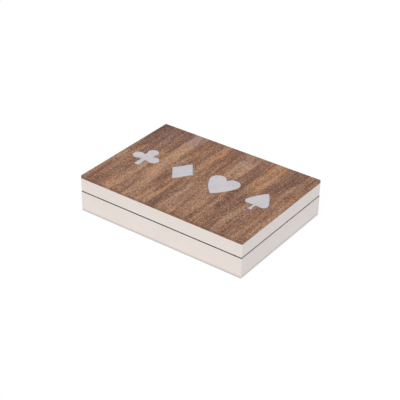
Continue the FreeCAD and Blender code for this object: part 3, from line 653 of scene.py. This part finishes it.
# %% [markdown]
# ## The felts
# Felt lines the lid, covers the floor of each well and keeps the box off the table. It is a
# pressed sheet with a soft cut edge and a nap that never lies quite flat. A plain slab would look
# like card, and a cloth simulation has nothing to do on a glued sheet, so each felt is a grid that
# gets its thickness, a rounded edge and a slight unevenness from modifiers.

# %% Build one felt in the space of its solid
FELT_STEP = 1.6 * MM
FELT_UNEVEN = 0.14 * MM
FELT_EDGE_SHARE = 0.3
SHARP_EDGE = math.radians(60)

nap = bpy.data.textures.new("felt_unevenness", "CLOUDS")
nap.noise_scale = 9 * MM
nap.noise_depth = 2


def apply_modifiers(piece):
    for modifier in list(piece.modifiers):
        bpy.ops.object.modifier_apply(modifier=modifier.name)


def felt(name, node, body, seat):
    """A felt sheet. Its seat is +1 where it is glued at its upper side, and -1 at its lower."""
    low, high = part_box(node)
    size = high - low
    shown = low.z if seat > 0 else high.z
    bpy.ops.object.select_all(action="DESELECT")
    bpy.ops.mesh.primitive_grid_add(
        size=1,
        x_subdivisions=round(size.x / FELT_STEP),
        y_subdivisions=round(size.y / FELT_STEP),
        location=((low.x + high.x) / 2, (low.y + high.y) / 2, shown),
    )
    sheet = bpy.context.active_object
    sheet.name = name
    sheet.scale = (size.x, size.y, 1)
    bpy.ops.object.transform_apply(location=True, rotation=False, scale=True)
    if seat > 0:
        bpy.ops.object.mode_set(mode="EDIT")
        bpy.ops.mesh.select_all(action="SELECT")
        bpy.ops.mesh.flip_normals()
        bpy.ops.object.mode_set(mode="OBJECT")
    thicken = sheet.modifiers.new("thickness", "SOLIDIFY")
    thicken.thickness = size.z
    thicken.offset = -1
    soften = sheet.modifiers.new("soft_edge", "BEVEL")
    soften.width = size.z * FELT_EDGE_SHARE
    soften.segments = 3
    soften.limit_method = "ANGLE"
    apply_modifiers(sheet)
    nap_side = sheet.vertex_groups.new(name="nap")
    on_shown_side = [v.index for v in sheet.data.vertices if abs(v.co.z - shown) < size.z / 2]
    nap_side.add(on_shown_side, 1.0, "ADD")
    uneven = sheet.modifiers.new("unevenness", "DISPLACE")
    uneven.texture = nap
    uneven.texture_coords = "LOCAL"
    uneven.mid_level = 1.0
    uneven.strength = FELT_UNEVEN
    uneven.vertex_group = "nap"
    apply_modifiers(sheet)
    sheet.vertex_groups.clear()
    bpy.ops.object.shade_smooth_by_angle(angle=SHARP_EDGE)
    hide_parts(node)
    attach(sheet, body)
    return sheet


FELTS = {
    "felt_well_left": ("well_felt_left", "base", -1),
    "felt_well_right": ("well_felt_right", "base", -1),
    "felt_lid_lining": ("lid_lining", "lid", 1),
    "felt_underside": ("underside_felt", "base", 1),
}
felts = [felt(name, *place) for name, place in FELTS.items()]
for sheet in felts:
    print(sheet.name, "faces", len(sheet.data.polygons))

# %% [markdown]
# ## The colour of the felt
# Pressed wool is matt, but its standing fibres catch light at a grazing angle, so the edges of a
# felt look paler than its middle. The sheen of the shader does that. A fine noise gives the tufts,
# and a slow one the mottling of a dyed cloth.


# %% Material: charcoal felt
def felt_finish():
    material, tree, shader, here = new_material(
        "charcoal_felt", Roughness=0.95, Sheen_Weight=0.35, Sheen_Roughness=0.45
    )
    shader.inputs["Sheen Tint"].default_value = linear(150, 152, 160)
    shader.inputs["Specular IOR Level"].default_value = 0.15
    tufts = noise(tree, here, 1600.0, detail=4.0, roughness=0.7)
    mottle = noise(tree, here, 160.0, detail=3.0)
    blend = maths(tree, "MULTIPLY_ADD", tufts, 0.65, maths(tree, "MULTIPLY", mottle, 0.35))
    colour = mix(tree, ramp(tree, blend, 0.32, 0.68), linear(36, 37, 41), linear(66, 67, 72))
    feed(tree, shader.inputs["Base Color"], colour)
    bump = add(tree, "Bump", {"Height": tufts, "Distance": 0.25 * MM})
    feed(tree, shader.inputs["Normal"], bump.outputs["Normal"])
    return material


charcoal_felt = felt_finish()
for sheet in felts:
    sheet.data.materials.append(charcoal_felt)
print(charcoal_felt.name, "on", ", ".join(sheet.name for sheet in felts))

# %% [markdown]
# ## What holds the felts
# Each felt is glued down all over, on the panel under it or over it. Its flat size is its plan
# size, because it isn't folded or stretched anywhere.

# %% [markdown]
# ## The floor
# The box stands on a pale floor that looks white to the camera, and keeps a soft shadow. A white
# paint alone would render grey at its far side, so most of what the camera sees of the floor is a
# steady glow. Ambient occlusion darkens that glow close round the foot of the box.

# %% Floor
FLOOR_SIZE = 12.0
CONTACT_REACH = 1.3 * MM
GLOW_STRENGTH = 1.04
GLOW_SHARE = 0.86


def seen_by_eye(tree):
    """1 for what the camera sees, also in a reflection or through glass, and 0 for other light."""
    path = add(tree, "LightPath").outputs
    seen = maths(tree, "MAXIMUM", path["Is Camera Ray"], path["Is Glossy Ray"])
    return maths(tree, "MAXIMUM", seen, path["Is Transmission Ray"])


def floor_finish():
    material = bpy.data.materials.new("pale_floor")
    material.use_nodes = True
    tree = material.node_tree
    shader = tree.nodes["Principled BSDF"]
    shader.inputs["Base Color"].default_value = linear(244, 244, 243)
    shader.inputs["Roughness"].default_value = 0.9
    shader.inputs["Specular IOR Level"].default_value = 0.1
    contact = add(tree, "AmbientOcclusion", {"Distance": CONTACT_REACH}, samples=8)
    glow = add(tree, "Emission", {"Color": contact.outputs["Color"], "Strength": GLOW_STRENGTH})
    share = maths(tree, "MULTIPLY", seen_by_eye(tree), GLOW_SHARE)
    both = add(tree, "MixShader")
    for index, source in ((0, share), (1, shader.outputs["BSDF"]), (2, glow.outputs["Emission"])):
        feed(tree, both.inputs[index], source)
    feed(tree, tree.nodes["Material Output"].inputs["Surface"], both.outputs["Shader"])
    return material


bpy.ops.mesh.primitive_plane_add(size=FLOOR_SIZE, location=(0, 0, 0))
floor = bpy.context.active_object
floor.name = "floor"
floor.data.materials.append(floor_finish())
print("floor", floor.dimensions[:2])

# %% [markdown]
# ## The light
# The light is a wide soft lamp over the camera's left shoulder, a weaker cool one on the right, and
# a bright even room, so the walls are lit almost flat. The lamps are kept at a level where a colour
# renders about as it is written. The room lights the box at less than the white that it shows.

# %% Room and lamps
ROOM_LEVEL = 0.41
LAMP_DISTANCE = 2.0
WARM_LIGHT = (1.0, 0.99, 0.97)
COOL_LIGHT = (0.62, 0.70, 1.0)


def light_room():
    world = bpy.data.worlds.new("even_room")
    bpy.context.scene.world = world
    world.use_nodes = True
    tree = world.node_tree
    level = ramp(tree, seen_by_eye(tree), 0.0, 1.0, ROOM_LEVEL, 1.0, smooth=False)
    background = tree.nodes["Background"]
    background.inputs["Color"].default_value = (1, 1, 1, 1)
    feed(tree, background.inputs["Strength"], level)


def lamp(name, azimuth, elevation, softness, strength, colour):
    """A far soft lamp from an azimuth and elevation; its softness is its width, in degrees."""
    turn = Matrix.Rotation(math.radians(azimuth), 3, "Z")
    tilt = Matrix.Rotation(math.radians(90 - elevation), 3, "X")
    aim = turn @ tilt
    bpy.ops.object.light_add(type="SUN", location=aim @ Vector((0, 0, LAMP_DISTANCE)))
    light = bpy.context.active_object
    light.name = name
    light.rotation_euler = aim.to_euler()
    light.data.angle = math.radians(softness)
    light.data.energy = strength
    light.data.color = colour
    print(name, [round(c, 2) for c in light.location])


light_room()
lamp("key_light", azimuth=20, elevation=54, softness=40, strength=1.72, colour=WARM_LIGHT)
lamp("side_light", azimuth=75, elevation=30, softness=60, strength=0.3, colour=COOL_LIGHT)

# %% [markdown]
# ## The camera
# The camera looks at the box from the front right and from above, with a long lens and a slight
# roll. Its place is built from the angles, so each can be changed by itself.

# %% Camera
VIEW_AZIMUTH = 35.69
VIEW_ELEVATION = 31.95
VIEW_ROLL = 0.99
VIEW_DISTANCE = 1.0110
VIEW_ASIDE = -0.00016
VIEW_ABOVE = 0.01104
LENS = 98.24

aim = (
    Matrix.Rotation(math.radians(VIEW_AZIMUTH), 3, "Z")
    @ Matrix.Rotation(math.radians(90 - VIEW_ELEVATION), 3, "X")
    @ Matrix.Rotation(math.radians(VIEW_ROLL), 3, "Z")
)
bpy.ops.object.camera_add()
camera = bpy.context.active_object
camera.data.lens = LENS
camera.location = aim @ Vector((VIEW_ASIDE, VIEW_ABOVE, VIEW_DISTANCE))
camera.rotation_euler = aim.to_euler()
bpy.context.scene.camera = camera
bpy.context.scene.view_settings.view_transform = "Standard"
print("camera at", [round(c, 3) for c in camera.location])
